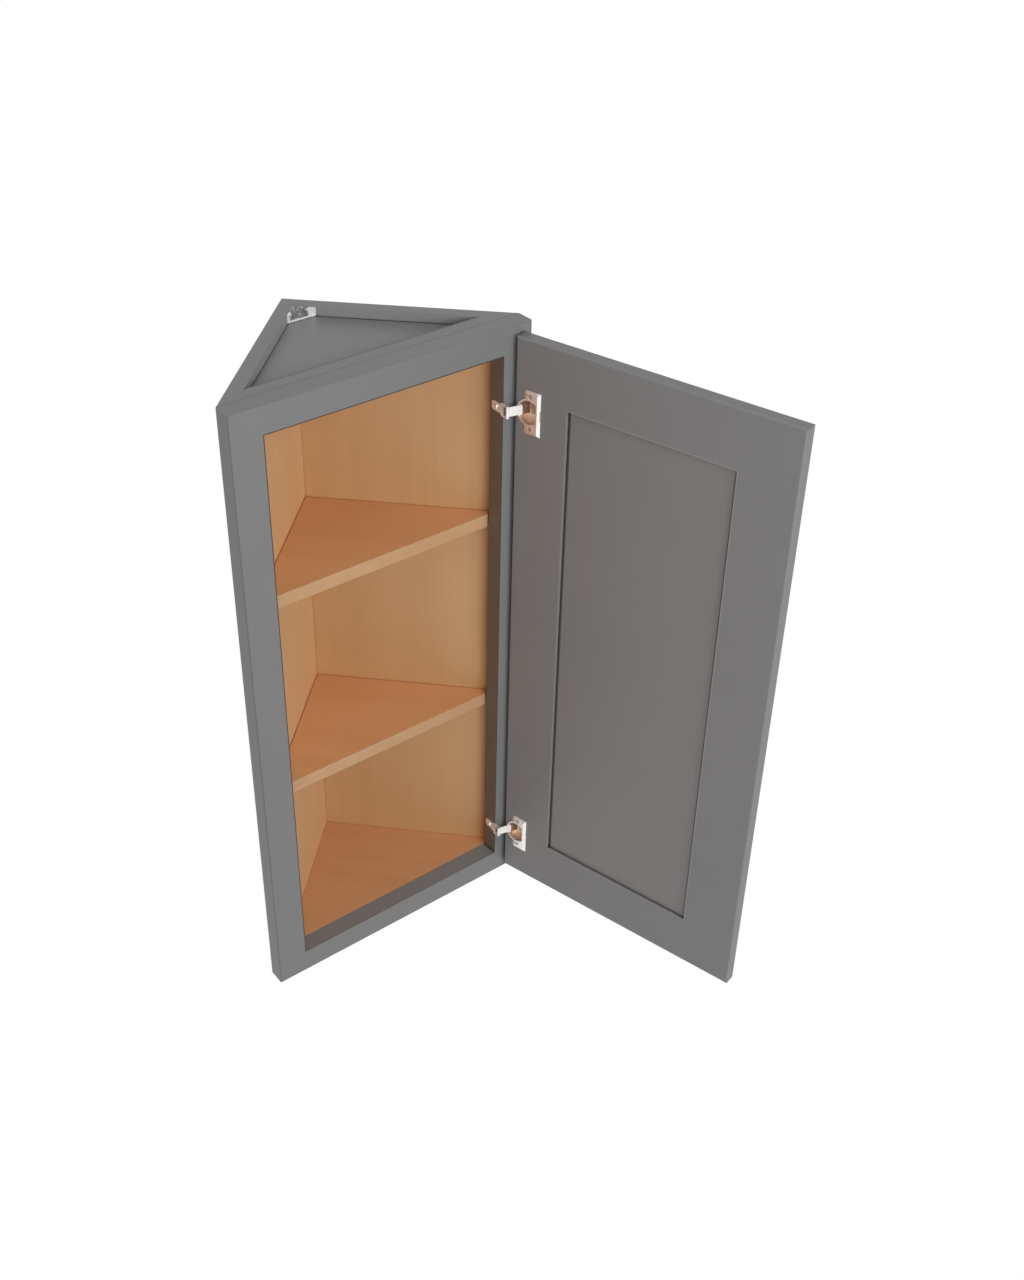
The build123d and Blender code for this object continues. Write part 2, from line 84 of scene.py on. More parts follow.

# Tints by the face frame: the distance behind it, along a wall, where each starts, and where it is
# full.  Glue darkens the joint on the grey side, and the foil is drawn warmer in tone close to the
# frame on the inside.
GLUE_LINE = (0.004, 0.001, "#C8C8C8")
FOIL_WARMING_NEAR_FRAME = (0.028, 0.014, "#FFDDBE")

# Regions of the boards, each bounded a little off the faces that it takes in.
FACE_MARGIN = 0.0002
on_rim = (("Z", RIM_LEVEL - FACE_MARGIN, "GREATER_THAN"),)
in_recess = (("Z", TOP_DECK_FACE + FACE_MARGIN, "GREATER_THAN"),
             ("Z", RIM_LEVEL - FACE_MARGIN, "LESS_THAN"))
between_decks = (("Z", BOTTOM_DECK_FACE - FACE_MARGIN, "GREATER_THAN"),
                 ("Z", TOP_DECK_UNDERSIDE + FACE_MARGIN, "LESS_THAN"))
between_walls = (("X", WALL_THICKNESS - FACE_MARGIN, "GREATER_THAN"),
                 ("Y", FACE_MARGIN - WALL_THICKNESS, "LESS_THAN"))


def srgb(code):
    """The linear colour of an sRGB hex code."""
    channels = [int(code[i:i + 2], 16) / 255 for i in (1, 3, 5)]
    linear = [c / 12.92 if c <= 0.04045 else ((c + 0.055) / 1.055) ** 2.4 for c in channels]
    return (*linear, 1.0)


def new_material(name):
    """A material with a shader of its own, still plain."""
    material = bpy.data.materials.new(name)
    material.use_nodes = True
    return material


def add_node(material, kind, inputs=None, **settings):
    """Add a node to a material or world, set it up, and fill its sockets with values or links."""
    tree = material.node_tree
    node = tree.nodes.new(kind)
    for name, value in settings.items():
        setattr(node, name, value)
    for name, value in (inputs or {}).items():
        if isinstance(value, bpy.types.NodeSocket):
            tree.links.new(value, node.inputs[name])
        else:
            node.inputs[name].default_value = value
    return node


def set_finish(material, sockets):
    """Fill the sockets of a material's own shader with values or links."""
    shader = material.node_tree.nodes["Principled BSDF"]
    for name, value in sockets.items():
        if isinstance(value, bpy.types.NodeSocket):
            material.node_tree.links.new(value, shader.inputs[name])
        else:
            shader.inputs[name].default_value = value


def cover(material, *nodes):
    """Give CAD nodes a finish."""
    for name in nodes:
        for material_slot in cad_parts[name].material_slots:
            material_slot.material = material


def paint_crease_shade(material, colour, tint):
    """Darken a colour with painted shade in inner corners, where light hardly gets in."""
    closed, open_air = CREASE_SHADE_AIR
    corner = add_node(material, "ShaderNodeAmbientOcclusion", {"Distance": CREASE_SHADE_REACH},
                      samples=8)
    depth = add_node(material, "ShaderNodeMapRange",
                     {"Value": corner.outputs["AO"], "From Min": closed, "From Max": open_air,
                      "To Min": 1.0, "To Max": 0.0})
    deep = add_node(material, "ShaderNodeMix",
                    {"Factor": depth.outputs["Result"], "A": colour, "B": tint},
                    data_type="RGBA", blend_type="MULTIPLY")
    return deep.outputs["Result"]


def tint_by_frame(material, axes, colour, tinting):
    """Tint a colour behind the face frame, from where a tint starts to where it is full."""
    start, full, tint = tinting
    reach = add_node(material, "ShaderNodeMath", {0: axes.outputs["X"], 1: axes.outputs["Y"]},
                     operation="SUBTRACT")
    growth = add_node(material, "ShaderNodeMapRange",
                      {"Value": reach.outputs["Value"], "From Min": FRAME_BACK - start,
                       "From Max": FRAME_BACK - full})
    tinted = add_node(material, "ShaderNodeMix",
                      {"Factor": growth.outputs["Result"], "A": colour, "B": srgb(tint)},
                      data_type="RGBA", blend_type="MULTIPLY")
    return tinted.outputs["Result"]


def within(material, axes, limits):
    """One where a place passes every limit, and zero elsewhere."""
    passed = 1.0
    for axis, limit, comparison in limits:
        test = add_node(material, "ShaderNodeMath", {0: axes.outputs[axis], 1: limit},
                        operation=comparison)
        passed = add_node(material, "ShaderNodeMath", {0: passed, 1: test.outputs["Value"]},
                          operation="MULTIPLY").outputs["Value"]
    return passed


def lay_grain(material, place, turn, along, width, length):
    """Coordinates that are turned about Z and drawn out along one axis, as grain is."""
    scale = [1 / (length if axis == along else width) for axis in "XYZ"]
    lie = add_node(material, "ShaderNodeMapping",
                   {"Vector": place, "Rotation": (0, 0, turn), "Scale": scale})
    return lie.outputs["Vector"]


def print_maple(material, tones, turn, along):
    """Printed maple: fine streaks along the grain over soft broad bands."""
    place = add_node(material, "ShaderNodeTexCoord").outputs["Object"]
    layers = []
    for width, length, waver in (STREAKS, BANDS):
        lie = lay_grain(material, place, turn, along, width, length)
        figure = add_node(material, "ShaderNodeTexNoise",
                          {"Vector": lie, "Scale": 1.0, "Detail": 3.0, "Roughness": 0.5,
                           "Distortion": waver})
        layers.append(figure.outputs["Fac"])
    streak, band = layers
    both = add_node(material, "ShaderNodeMath", {0: streak, 1: STREAK_SHARE, 2: band},
                    operation="MULTIPLY_ADD")
    tone = add_node(material, "ShaderNodeMapRange",
                    {"Value": both.outputs["Value"], "From Min": PRINT_RANGE[0],
                     "From Max": PRINT_RANGE[1]})
    wood = add_node(material, "ShaderNodeMix",
                    {"Factor": tone.outputs["Result"], "A": srgb(tones[0]), "B": srgb(tones[1])},
                    data_type="RGBA")
    return place, wood.outputs["Result"], streak


def spray_grey(material, place, code):
    """The colour of sprayed lacquer: nearly even, with a faint cloud in its tone."""
    cloud = add_node(material, "ShaderNodeTexNoise",
                     {"Vector": place, "Scale": 1 / CLOUD_WIDTH, "Detail": 4.0})
    shade = add_node(material, "ShaderNodeMapRange",
                     {"Value": cloud.outputs["Fac"], "To Min": CLOUD_TONES[0],
                      "To Max": CLOUD_TONES[1]})
    tint = add_node(material, "ShaderNodeVectorMath",
                    {0: srgb(code)[:3], "Scale": shade.outputs["Result"]}, operation="SCALE")
    return tint.outputs["Vector"]


def orange_peel(material, place):
    """The fine orange peel in which sprayed lacquer dries."""
    peel = add_node(material, "ShaderNodeTexNoise",
                    {"Vector": place, "Scale": 1 / PEEL_WIDTH, "Detail": 2.0, "Roughness": 0.6})
    return peel.outputs["Fac"]


# Maple foil inside and satin lacquer outside on one board.  The foil is warm and even with a silky
# gloss.  The lacquer is a flat mid grey, painted lighter in the recess of the top against the
# shade there and painted darker on the rim against the light on it.  Painted shade darkens both
# in inner corners.
def finish_board(name, tones, turn, along, limits, warming=None):
    board = new_material(name)
    place, maple, streak = print_maple(board, tones, turn, along)
    axes = add_node(board, "ShaderNodeSeparateXYZ", {"Vector": place})
    inside = within(board, axes, limits)
    grey = spray_grey(board, place, BOARD_GREY)
    for code, region in ((RECESS_PAINTED_LIGHT_GREY, between_walls + in_recess), (RIM_PAINTED_SHADE_GREY, on_rim)):
        grey = add_node(board, "ShaderNodeMix",
                        {"Factor": within(board, axes, region), "A": grey,
                         "B": spray_grey(board, place, code)},
                        data_type="RGBA").outputs["Result"]
    grey = tint_by_frame(board, axes, grey, GLUE_LINE)
    if warming:
        maple = tint_by_frame(board, axes, maple, warming)
    colour = add_node(board, "ShaderNodeMix", {"Factor": inside, "A": grey, "B": maple},
                      data_type="RGBA")
    crease_shade = add_node(board, "ShaderNodeMix",
                      {"Factor": inside, "A": srgb(LACQUER_CREASE_SHADE), "B": srgb(FOIL_CREASE_SHADE)},
                      data_type="RGBA")
    shaded = paint_crease_shade(board, colour.outputs["Result"], crease_shade.outputs["Result"])
    relief = add_node(board, "ShaderNodeMix",
                      {"Factor": inside, "A": orange_peel(board, place), "B": streak})
    bump = add_node(board, "ShaderNodeBump",
                    {"Height": relief.outputs["Result"], "Strength": FINE_RELIEF,
                     "Distance": RELIEF_DEPTH})
    gloss = add_node(board, "ShaderNodeMapRange",
                     {"Value": streak, "To Min": FOIL_GLOSS[0], "To Max": FOIL_GLOSS[1]})
    set_finish(board, {"Base Color": shaded,
                       "Roughness": gloss.outputs["Result"], "Normal": bump.outputs["Normal"]})
    return board


side_board = finish_board("maple foil and grey lacquer on side board", SIDE_PAINTED_LIGHT_TONES, 0, "Z",
                          between_walls + between_decks, FOIL_WARMING_NEAR_FRAME)
cover(side_board, "side_panel")
back_board = finish_board("maple foil and grey lacquer on back board", BACK_TONES, 0, "Z",
                          between_walls + between_decks, FOIL_WARMING_NEAR_FRAME)
cover(back_board, "back_panel")

# The decks: the same board, 12.7 mm thick, let into the grooves of the walls.  The maple foil faces
# the inside of the cabinet, and its grain runs along the front.
ALONG_FRONT = radians(-45)
DECK_TONES = ("#C48F65", "#BE895F")

deck_board = finish_board("maple foil and grey lacquer on deck board", DECK_TONES, ALONG_FRONT,
                          "X", between_decks)
cover(deck_board, "bottom_panel", "top_panel")

# The shelves: thicker board with the maple foil on both faces, cut as blunt triangles and laid on
# their pins.  Their print is drawn a little deeper and warmer in tone than the walls', as painted
# warm light bounced from the foil round them.
SHELF_PAINTED_BOUNCE_TONES = ("#D09768", "#CA9162")

shelf_board = new_material("maple foil on shelf board")
_, maple, streak = print_maple(shelf_board, SHELF_PAINTED_BOUNCE_TONES, ALONG_FRONT, "X")
gloss = add_node(shelf_board, "ShaderNodeMapRange",
                 {"Value": streak, "To Min": FOIL_GLOSS[0], "To Max": FOIL_GLOSS[1]})
bump = add_node(shelf_board, "ShaderNodeBump",
                {"Height": streak, "Strength": FINE_RELIEF, "Distance": RELIEF_DEPTH})
# Painted shade darkens the shelves' foil in their inner corners.
set_finish(shelf_board, {"Base Color": paint_crease_shade(shelf_board, maple, srgb(FOIL_CREASE_SHADE)),
                         "Roughness": gloss.outputs["Result"], "Normal": bump.outputs["Normal"]})
cover(shelf_board, "upper_shelf", "lower_shelf")

# The front edge of each shelf is closed with a strip of maple edge banding, half a millimetre of
# printed plastic ironed on and trimmed flush, with its long edges eased.  It gives the shelf a
# clean even edge, a shade greyer than the foil.
BANDING_THICKNESS = 0.0005
BANDING_EASE = 0.0002
BANDING_GLUE = 0.00005
BANDING_TONES = ("#C29A73", "#BA9068")
BANDING_ROUGHNESS = 0.42

# A shelf's tips are cut off, so its front edge ends this far inside its box.
SHELF_TIP = 0.009

# A face counts as facing a direction when the cosine between the two is above this.
SAME_WAY = 0.9


def select_only(piece):
    """Leave one piece selected and active."""
    bpy.ops.object.select_all(action="DESELECT")
    piece.select_set(True)
    bpy.context.view_layer.objects.active = piece


def edit_faces(piece, direction):
    """Open a piece in edit mode with only those of its faces selected that face a direction."""
    select_only(piece)
    bpy.ops.object.mode_set(mode="EDIT")
    bpy.ops.mesh.select_mode(type="FACE")
    bpy.ops.mesh.select_all(action="DESELECT")
    bpy.ops.object.mode_set(mode="OBJECT")
    for face in piece.data.polygons:
        face.select = face.normal.dot(direction) > SAME_WAY
    bpy.ops.object.mode_set(mode="EDIT")


banding = new_material("maple edge banding")
_, maple, _ = print_maple(banding, BANDING_TONES, ALONG_FRONT, "X")
set_finish(banding, {"Base Color": maple, "Roughness": BANDING_ROUGHNESS})
frontward = Vector((1, -1, 0)).normalized()
for level in ("upper", "lower"):
    low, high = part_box(level + "_shelf")
    right_end = Vector((high.x, high.y - SHELF_TIP, 0))
    left_end = Vector((low.x + SHELF_TIP, low.y, 0))
    middle = (right_end + left_end) / 2 + frontward * (BANDING_THICKNESS / 2 + BANDING_GLUE)
    middle.z = (low.z + high.z) / 2
    bpy.ops.mesh.primitive_cube_add(
        size=1, location=middle, rotation=(0, 0, -ALONG_FRONT),
        scale=((right_end - left_end).length, BANDING_THICKNESS, high.z - low.z))
    strip = bpy.context.object
    strip.name = level + "_shelf_edge_band"
    bpy.ops.object.transform_apply(location=True, rotation=True, scale=True)
    edit_faces(strip, frontward)
    bpy.ops.mesh.bevel(offset=BANDING_EASE, segments=3, affect="EDGES")
    bpy.ops.object.mode_set(mode="OBJECT")
    strip.data.materials.append(banding)
    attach(strip, "cabinet")

# The spoon pins that carry the shelves: pressed steel, barrelled in bulk with bright nickel, so
# they are smooth and softly mirror-like.  The ripples of all plating here are drawn coarser than
# real ones, which a picture of the whole cabinet would lose.
PIN_NICKEL = "#DAD3CB"
PIN_GLOSS = (0.24, 0.34)
PIN_RIPPLE = 0.004
NICKEL_RELIEF = 0.08
PLATE_TONES = (0.94, 1.03)
PLATE_DEPTH = 0.0002


def plate_metal(name, code, roughness, ripple_width, relief):
    """A plated steel: its colour, its range of roughness, and its ripples' width and strength."""
    metal = new_material(name)
    place = add_node(metal, "ShaderNodeTexCoord").outputs["Object"]
    ripple = add_node(metal, "ShaderNodeTexNoise",
                      {"Vector": place, "Scale": 1 / ripple_width, "Detail": 3.0,
                       "Roughness": 0.55})
    gloss = add_node(metal, "ShaderNodeMapRange",
                     {"Value": ripple.outputs["Fac"], "To Min": roughness[0],
                      "To Max": roughness[1]})
    shade = add_node(metal, "ShaderNodeMapRange",
                     {"Value": ripple.outputs["Fac"], "To Min": PLATE_TONES[0],
                      "To Max": PLATE_TONES[1]})
    tint = add_node(metal, "ShaderNodeVectorMath",
                    {0: srgb(code)[:3], "Scale": shade.outputs["Result"]}, operation="SCALE")
    bump = add_node(metal, "ShaderNodeBump",
                    {"Height": ripple.outputs["Fac"], "Strength": relief,
                     "Distance": PLATE_DEPTH})
    set_finish(metal, {"Base Color": tint.outputs["Vector"], "Metallic": 1.0,
                       "Roughness": gloss.outputs["Result"], "Normal": bump.outputs["Normal"]})
    return metal


barrel_nickel = plate_metal("barrel nickel plate on shelf pins", PIN_NICKEL, PIN_GLOSS, PIN_RIPPLE,
                            NICKEL_RELIEF)
cover(barrel_nickel, "upper_shelf_pins", "lower_shelf_pins")

# The face frame: solid maple stiles and rails, glued up with stub tenons, sanded, primed and
# sprayed grey.  Under the lacquer the grain still shows as the faintest long ripple, drawn coarser
# than real maple's so that it shows at all.
FRAME_GREY = "#767676"
LACQUER_GLOSS = (0.38, 0.46)
GRAIN_WIDTH = 0.0045
GRAIN_LENGTH = 0.25
GRAIN_RELIEF = 0.04
# The painted shade in the creases and gaps of the frame and door is nearly black.
GAP_CREASE_SHADE = "#4A4541"

# Painted shade lies as lines along the arrises round the opening and the outside, and on the
# frame's inner edges, browner there with a painted reflection of the maple inside.  The top and
# bottom faces have painted shade, and the side faces a tone of their own.  A line lies between
# two distances past the border of a rectangle: outside it, on the edges that stand on the border
# itself, or inside it.  A side that is FAR away draws no line.
OUTSIDE_BORDER = (0.0001, 0.0014)
ON_BORDER = (-0.00005, 0.0006)
INSIDE_BORDER = (-0.0014, -0.0001)
FAR = 2.0
OPENING_ARRIS_SHADE = "#3A322C"
OPENING_EDGE_SHADE = "#6B5F56"
OUTER_ARRIS_SHADE = "#686766"
SIDE_EDGE = "#777777"
TOP_FACE_SHADE = "#717171"


def spread(node, direction):
    """How far a CAD node reaches along a direction, from its low end to its high end."""
    reach = [vertex.co.dot(direction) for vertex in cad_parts[node].data.vertices]
    return min(reach), max(reach)


def line_borders(material, place, turn, borders, colour):
    """Lines along the borders of upright rectangles, which a turn about Z brings square to X."""
    lie = add_node(material, "ShaderNodeMapping", {"Vector": place, "Rotation": (0, 0, turn)})
    for across, up, (start, end), tint in borders:
        middle = (sum(across) / 2, 0, sum(up) / 2)
        half = ((across[1] - across[0]) / 2, 0, (up[1] - up[0]) / 2)
        away = add_node(material, "ShaderNodeVectorMath", {0: lie.outputs["Vector"], 1: middle},
                        operation="SUBTRACT")
        folded = add_node(material, "ShaderNodeVectorMath", {0: away.outputs["Vector"]},
                          operation="ABSOLUTE")
        past = add_node(material, "ShaderNodeVectorMath", {0: folded.outputs["Vector"], 1: half},
                        operation="SUBTRACT")
        axes = add_node(material, "ShaderNodeSeparateXYZ", {"Vector": past.outputs["Vector"]})
        border = add_node(material, "ShaderNodeMath", {0: axes.outputs["X"], 1: axes.outputs["Z"]},
                          operation="MAXIMUM")
        near = add_node(material, "ShaderNodeMath",
                        {0: border.outputs["Value"], 1: (start + end) / 2, 2: (end - start) / 2},
                        operation="COMPARE")
        line = add_node(material, "ShaderNodeMix",
                        {"Factor": near.outputs["Value"], "A": colour, "B": srgb(tint)},
                        data_type="RGBA")
        colour = line.outputs["Result"]
    return colour


def finish_lacquer(name, code, turn, along, slant, borders):
    """Grey satin lacquer over solid maple, with the grain turned and laid along one axis."""
    lacquer = new_material(name)
    place = add_node(lacquer, "ShaderNodeTexCoord").outputs["Object"]
    # The lines along the borders are painted shade and painted highlights, and painted shade
    # darkens the creases.
    lined = line_borders(lacquer, place, slant, borders, spray_grey(lacquer, place, code))
    lie = lay_grain(lacquer, place, turn, along, GRAIN_WIDTH, GRAIN_LENGTH)
    grain = add_node(lacquer, "ShaderNodeTexNoise", {"Vector": lie, "Scale": 1.0, "Detail": 2.0})
    ripple = add_node(lacquer, "ShaderNodeBump",
                      {"Height": grain.outputs["Fac"], "Strength": GRAIN_RELIEF,
                       "Distance": RELIEF_DEPTH})
    bump = add_node(lacquer, "ShaderNodeBump",
                    {"Height": orange_peel(lacquer, place), "Strength": FINE_RELIEF,
                     "Distance": RELIEF_DEPTH, "Normal": ripple.outputs["Normal"]})
    gloss = add_node(lacquer, "ShaderNodeMapRange",
                     {"Value": grain.outputs["Fac"], "To Min": LACQUER_GLOSS[0],
                      "To Max": LACQUER_GLOSS[1]})
    set_finish(lacquer, {"Base Color": paint_crease_shade(lacquer, lined, srgb(GAP_CREASE_SHADE)),
                         "Roughness": gloss.outputs["Result"], "Normal": bump.outputs["Normal"]})
    return lacquer


along_front = Vector((1, 1, 0)).normalized()
left_end, left_inner = spread("left_frame_stile", along_front)
right_inner, right_end = spread("right_frame_stile", along_front)
low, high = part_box("left_frame_stile")
opening = (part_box("bottom_frame_rail")[1].z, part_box("top_frame_rail")[0].z)
frame_borders = (
    ((left_inner, right_inner), opening, OUTSIDE_BORDER, OPENING_ARRIS_SHADE),
    ((left_end, right_end), (-FAR, FAR), ON_BORDER, SIDE_EDGE),
    ((-FAR, FAR), (low.z, high.z), ON_BORDER, TOP_FACE_SHADE),
    ((left_end, right_end), (low.z, high.z), INSIDE_BORDER, OUTER_ARRIS_SHADE),
)
inner_edge_shade = (((left_inner, right_inner), opening, ON_BORDER, OPENING_EDGE_SHADE),)
stile_lacquer = finish_lacquer("grey satin lacquer on maple frame stiles", FRAME_GREY, 0, "Z",
                               ALONG_FRONT, inner_edge_shade + frame_borders)
cover(stile_lacquer, "left_frame_stile", "right_frame_stile")
frame_rail_lacquer = finish_lacquer("grey satin lacquer on maple frame rails", FRAME_GREY,
                                    ALONG_FRONT, "X", ALONG_FRONT, frame_borders)
cover(frame_rail_lacquer, "top_frame_rail", "bottom_frame_rail")

# The nailing cleat on the top deck, behind the frame: a strip of the same maple, glued down and
# sprayed together with the frame, with a hairline where the two meet, painted shade along the
# arris at its back and painted shade in its creases.
CLEAT_GREY = "#717171"
CLEAT_ROUGHNESS = 0.42
CLEAT_ARRIS_SHADE = (0.0262, 0.0282, "#C0C0C0")

cleat_lacquer = new_material("grey satin lacquer on the maple cleat")
place = add_node(cleat_lacquer, "ShaderNodeTexCoord").outputs["Object"]
axes = add_node(cleat_lacquer, "ShaderNodeSeparateXYZ", {"Vector": place})
lined = spray_grey(cleat_lacquer, place, CLEAT_GREY)
for tinting in (GLUE_LINE, CLEAT_ARRIS_SHADE):
    lined = tint_by_frame(cleat_lacquer, axes, lined, tinting)
shaded = paint_crease_shade(cleat_lacquer, lined, srgb(LACQUER_CREASE_SHADE))
bump = add_node(cleat_lacquer, "ShaderNodeBump",
                {"Height": orange_peel(cleat_lacquer, place), "Strength": FINE_RELIEF,
                 "Distance": RELIEF_DEPTH})
set_finish(cleat_lacquer, {"Base Color": shaded, "Roughness": CLEAT_ROUGHNESS,
                           "Normal": bump.outputs["Normal"]})
cover(cleat_lacquer, "top_cleat")

# The corner bracket in the top recess: sheet steel, folded up along both walls and at its open
# side, and electroplated with zinc.  The plate has a mottled grey-white bloom, drawn coarser than a
# real one, whose darker patches are partly painted reflection.  The lip at the open side is left
# without them, as a painted highlight.
BRACKET_WALL = 0.0015
ZINC = "#FAFAFA"
ZINC_SHADOW = "#8B8D8F"
ZINC_METALLIC = 0.5
ZINC_GLOSS = (0.36, 0.50)
BLOOM_WIDTH = 0.0035
BLOOM_RANGE = (0.03, 0.20)
HIGHLIGHT_LIP = 0.009

zinc = new_material("zinc plate on sheet steel")
place = add_node(zinc, "ShaderNodeTexCoord").outputs["Object"]
bloom = add_node(zinc, "ShaderNodeTexVoronoi", {"Vector": place, "Scale": 1 / BLOOM_WIDTH})
cloud = add_node(zinc, "ShaderNodeTexNoise",
                 {"Vector": place, "Scale": 1 / BLOOM_WIDTH, "Detail": 4.0, "Roughness": 0.65})
patches = add_node(zinc, "ShaderNodeMath",
                   {0: bloom.outputs["Distance"], 1: cloud.outputs["Fac"]}, operation="MULTIPLY")
low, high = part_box("corner_bracket")
axes = add_node(zinc, "ShaderNodeSeparateXYZ", {"Vector": place})
foot = add_node(zinc, "ShaderNodeMath",
                {0: axes.outputs["Z"], 1: low.z + BRACKET_WALL + FACE_MARGIN},
                operation="LESS_THAN")
reach = add_node(zinc, "ShaderNodeMath", {0: axes.outputs["X"], 1: axes.outputs["Y"]},
                 operation="SUBTRACT")
inner = add_node(zinc, "ShaderNodeMath",
                 {0: reach.outputs["Value"], 1: high.x - high.y - HIGHLIGHT_LIP},
                 operation="LESS_THAN")
mottled_off_highlight = add_node(zinc, "ShaderNodeMath",
                  {0: foot.outputs["Value"], 1: inner.outputs["Value"]}, operation="MAXIMUM")
mottle = add_node(zinc, "ShaderNodeMapRange",
                  {"Value": patches.outputs["Value"], "From Min": BLOOM_RANGE[0],
                   "From Max": BLOOM_RANGE[1], "To Max": mottled_off_highlight.outputs["Value"]})
tone = add_node(zinc, "ShaderNodeMix",
                {"Factor": mottle.outputs["Result"], "A": srgb(ZINC), "B": srgb(ZINC_SHADOW)},
                data_type="RGBA")
gloss = add_node(zinc, "ShaderNodeMapRange",
                 {"Value": mottle.outputs["Result"], "To Min": ZINC_GLOSS[0],
                  "To Max": ZINC_GLOSS[1]})
set_finish(zinc, {"Base Color": tone.outputs["Result"], "Metallic": ZINC_METALLIC,
                  "Roughness": gloss.outputs["Result"]})
cover(zinc, "corner_bracket")

# Two pan-head screws hold the bracket to the walls.  Their heads are pressed from steel wire,
# rounded at the rim and punched with a cross recess, and their zinc is painted a dull grey as
# painted shade.
SCREW_REACH = 0.017
SCREW_LEVEL = 0.0071
SCREW_SIDES = 40
PAN_RADIUS = 0.0034
PAN_HEIGHT = 0.0019
PAN_ROUND = 0.0012
NECK_RADIUS = 0.00175
NECK_LENGTH = 0.00145
CROSS_SPAN = 0.0034
CROSS_SLOT = 0.0008
CROSS_DEPTH = 0.0012
CROSS_TAPER = 0.5
SHADED_ZINC = "#999796"
DULL_GLOSS = (0.42, 0.55)
SCREW_RIPPLE = 0.0015

origin = Vector((0, 0, 0))
upward = Vector((0, 0, 1))


def punch_cross(screw):
    """Punch a tapered cross recess into the top of a screw that stands upright on the origin."""
    top = max(vertex.co.z for vertex in screw.data.vertices)
    for turn in (0, 90):
        bpy.ops.mesh.primitive_cube_add(
            size=1, location=(0, 0, top), rotation=(0, 0, radians(turn)),
            scale=(CROSS_SPAN, CROSS_SLOT, 2 * CROSS_DEPTH))
        blade = bpy.context.object
        bpy.ops.object.transform_apply(location=True, rotation=True, scale=True)
        edit_faces(blade, -upward)
        bpy.ops.transform.resize(value=(CROSS_TAPER, CROSS_TAPER, 1), center_override=origin)
        bpy.ops.object.mode_set(mode="OBJECT")
        select_only(screw)
        punch = screw.modifiers.new("punch", "BOOLEAN")
        punch.operation = "DIFFERENCE"
        punch.object = blade
        bpy.ops.object.modifier_apply(modifier=punch.name)
        bpy.data.objects.remove(blade)


def drive_in(screw, name, seats, body, replaced):
    """Copies of an upright screw, turned to face out of their seats and joined to one piece."""
    copies = []
    for seat, outward, turn in seats:
        select_only(screw)
        bpy.ops.object.duplicate()
        driven = bpy.context.object
        facing = outward.to_track_quat("Z", "Y") @ Quaternion(upward, radians(turn))
        driven.rotation_euler = facing.to_euler()
        driven.location = seat
        bpy.ops.object.transform_apply(location=True, rotation=True, scale=True)
        copies.append(driven)
    for driven in copies:
        driven.select_set(True)
    if len(copies) > 1:
        bpy.ops.object.join()
    piece = bpy.context.object
    piece.name = name
    piece.data.name = name
    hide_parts(replaced)
    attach(piece, body)


bpy.ops.mesh.primitive_cylinder_add(vertices=SCREW_SIDES, radius=PAN_RADIUS, depth=PAN_HEIGHT,
                                    location=(0, 0, PAN_HEIGHT / 2))
pan_screw = bpy.context.object
bpy.ops.object.transform_apply(location=True, rotation=True, scale=True)
edit_faces(pan_screw, upward)
bpy.ops.mesh.bevel(offset=PAN_ROUND, segments=5, affect="EDGES")
bpy.ops.object.mode_set(mode="OBJECT")
edit_faces(pan_screw, -upward)
bpy.ops.mesh.inset(thickness=PAN_RADIUS - NECK_RADIUS)
bpy.ops.mesh.extrude_region_move(TRANSFORM_OT_translate={"value": (0, 0, -NECK_LENGTH)})
bpy.ops.object.mode_set(mode="OBJECT")
punch_cross(pan_screw)
bpy.ops.object.shade_smooth_by_angle(angle=radians(30))
pan_screw.data.materials.append(plate_metal("zinc with painted shade on bracket screws", SHADED_ZINC, DULL_GLOSS,
                                            SCREW_RIPPLE, FINE_RELIEF))

# Each screw is driven until it is tight, so its cross ends at a turn of its own, in degrees.
low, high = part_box("corner_bracket")
bracket_seats = (
    (Vector((low.x + BRACKET_WALL, high.y - SCREW_REACH, low.z + SCREW_LEVEL)),
     Vector((1, 0, 0)), 20),
    (Vector((low.x + SCREW_REACH, high.y - BRACKET_WALL, low.z + SCREW_LEVEL)),
     Vector((0, -1, 0)), 65),
)
drive_in(pan_screw, "corner_bracket_pan_screws", bracket_seats, "cabinet", "corner_bracket_screws")

# The door: two stiles and two rails round a flat panel that floats in their grooves.  All five are
# sprayed before the panel is locked in.  Painted shade darkens the panel along the grooves of the
# stiles and on the door's outer edges, and a painted highlight lies on the step round the panel.
DOOR_GREY = "#7F7E7E"
PANEL_GREY = "#807E7D"
DOOR_STEP_HIGHLIGHT = "#93928F"
DOOR_EDGE_SHADE = "#6E6D6C"
GROOVE_SHADE = "#4C4A48"
GROOVE_REACH = (-0.0035, 0.0001)

# The door stands open by 105.4 degrees, so its width runs off at this angle to the back wall.
ACROSS_DOOR = radians(29.6)
across_door = Quaternion(upward, -ACROSS_DOOR) @ Vector((1, 0, 0))
hinge_edge, hinge_inner = spread("door_hinge_stile", across_door)
free_inner, free_edge = spread("door_free_stile", across_door)
low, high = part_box("door_hinge_stile")
opening = (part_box("door_bottom_rail")[1].z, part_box("door_top_rail")[0].z)
door_borders = (
    ((hinge_inner, free_inner), opening, OUTSIDE_BORDER, DOOR_STEP_HIGHLIGHT),
    ((hinge_edge, free_edge), (low.z, high.z), ON_BORDER, DOOR_EDGE_SHADE),
)
panel_border = (((hinge_inner, free_inner), (low.z, high.z), GROOVE_REACH, GROOVE_SHADE),)
door_lacquer = finish_lacquer("grey satin lacquer on maple door stiles", DOOR_GREY, 0, "Z",
                              ACROSS_DOOR, door_borders)
cover(door_lacquer, "door_hinge_stile", "door_free_stile")
